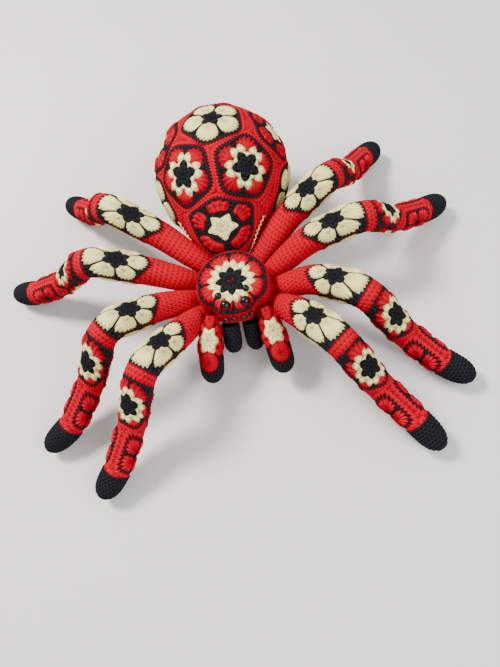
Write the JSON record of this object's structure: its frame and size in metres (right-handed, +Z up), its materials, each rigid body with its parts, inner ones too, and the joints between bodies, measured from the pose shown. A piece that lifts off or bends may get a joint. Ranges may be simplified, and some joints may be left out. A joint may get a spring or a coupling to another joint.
{
  "type": "crocheted stuffed tarantula",
  "caption": "Crocheted, stuffed tarantula toy: a round patterned abdomen and a cushion head with bead eyes, on arched tubular legs that stand on blunt feet.",
  "frame": {"origin": "middle of the footprint, on the surface that the toy stands on", "axes": "+Z up, -Y the way the animal faces, +X towards the animal's own left"},
  "size_m": [0.4836, 0.3714, 0.136],
  "materials": {
    "red_yarn": "crocheted cotton yarn",
    "cream_yarn": "crocheted cotton yarn",
    "black_yarn": "crocheted cotton yarn",
    "eye_bead": "polished dark plastic"
  },
  "bodies": {
    "root": {"abdomen": "red_yarn", "eye_big_left": "eye_bead", "eye_big_right": "eye_bead", "eye_middle_left": "eye_bead", "eye_middle_right": "eye_bead", "eye_small_left_inner": "eye_bead", "eye_small_left_outer": "eye_bead", "eye_small_right_inner": "eye_bead", "eye_small_right_outer": "eye_bead", "fang_left": "black_yarn", "fang_right": "black_yarn", "head": "red_yarn", "leg_left_back_ankle": "red_yarn", "leg_left_back_foot": "black_yarn", "leg_left_back_knee": "cream_yarn", "leg_left_back_shin": "red_yarn", "leg_left_back_thigh": "red_yarn", "leg_left_front_ankle": "red_yarn", "leg_left_front_foot": "black_yarn", "leg_left_front_knee": "cream_yarn", "leg_left_front_shin": "red_yarn", "leg_left_front_thigh": "red_yarn", "leg_left_second_ankle": "red_yarn", "leg_left_second_foot": "black_yarn", "leg_left_second_knee": "cream_yarn", "leg_left_second_shin": "red_yarn", "leg_left_second_thigh": "red_yarn", "leg_left_third_ankle": "red_yarn", "leg_left_third_foot": "black_yarn", "leg_left_third_knee": "cream_yarn", "leg_left_third_shin": "red_yarn", "leg_left_third_thigh": "red_yarn", "leg_right_back_ankle": "red_yarn", "leg_right_back_foot": "black_yarn", "leg_right_back_knee": "cream_yarn", "leg_right_back_shin": "red_yarn", "leg_right_back_thigh": "red_yarn", "leg_right_front_ankle": "red_yarn", "leg_right_front_foot": "black_yarn", "leg_right_front_knee": "cream_yarn", "leg_right_front_shin": "red_yarn", "leg_right_front_thigh": "red_yarn", "leg_right_second_ankle": "red_yarn", "leg_right_second_foot": "black_yarn", "leg_right_second_knee": "cream_yarn", "leg_right_second_shin": "red_yarn", "leg_right_second_thigh": "red_yarn", "leg_right_third_ankle": "red_yarn", "leg_right_third_foot": "black_yarn", "leg_right_third_knee": "cream_yarn", "leg_right_third_shin": "red_yarn", "leg_right_third_thigh": "red_yarn", "palp_left": "red_yarn", "palp_left_tip": "black_yarn", "palp_right": "red_yarn", "palp_right_tip": "black_yarn"}
  },
  "joints": []
}
